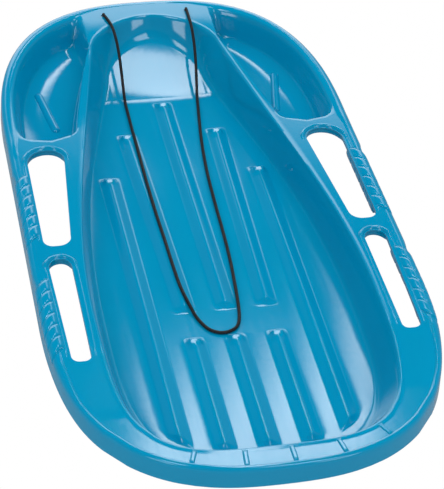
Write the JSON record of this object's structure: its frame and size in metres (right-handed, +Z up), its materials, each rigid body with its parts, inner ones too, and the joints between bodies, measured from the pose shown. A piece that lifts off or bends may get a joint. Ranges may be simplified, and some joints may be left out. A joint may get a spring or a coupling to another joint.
{
  "type": "sled",
  "caption": "Shallow one-piece moulded downhill sled with a ribbed tub, foot pockets beside the nose, hand holes with textured grips and a tow rope loop.",
  "frame": {"origin": "middle of the sled's length and width, on the ground under its flat floor", "axes": "+Y towards the nose, +X to the rider's right, +Z up"},
  "size_m": [0.456, 0.89, 0.0673],
  "materials": {
    "hull_plastic": "smooth glossy moulded plastic",
    "rope_cord": "braided synthetic cord"
  },
  "bodies": {
    "hull": {"sled_hull": "hull_plastic", "rope_end_left": "rope_cord", "rope_end_right": "rope_cord"},
    "rope": {"tow_rope": "rope_cord"}
  },
  "joints": [
    {"name": "tow_rope_lift", "type": "hinge", "parent": "hull", "child": "rope", "pos_m": [0, 0.412, 0.0654], "axis": [-1, 0, 0], "range_deg": [0, 160]}
  ]
}
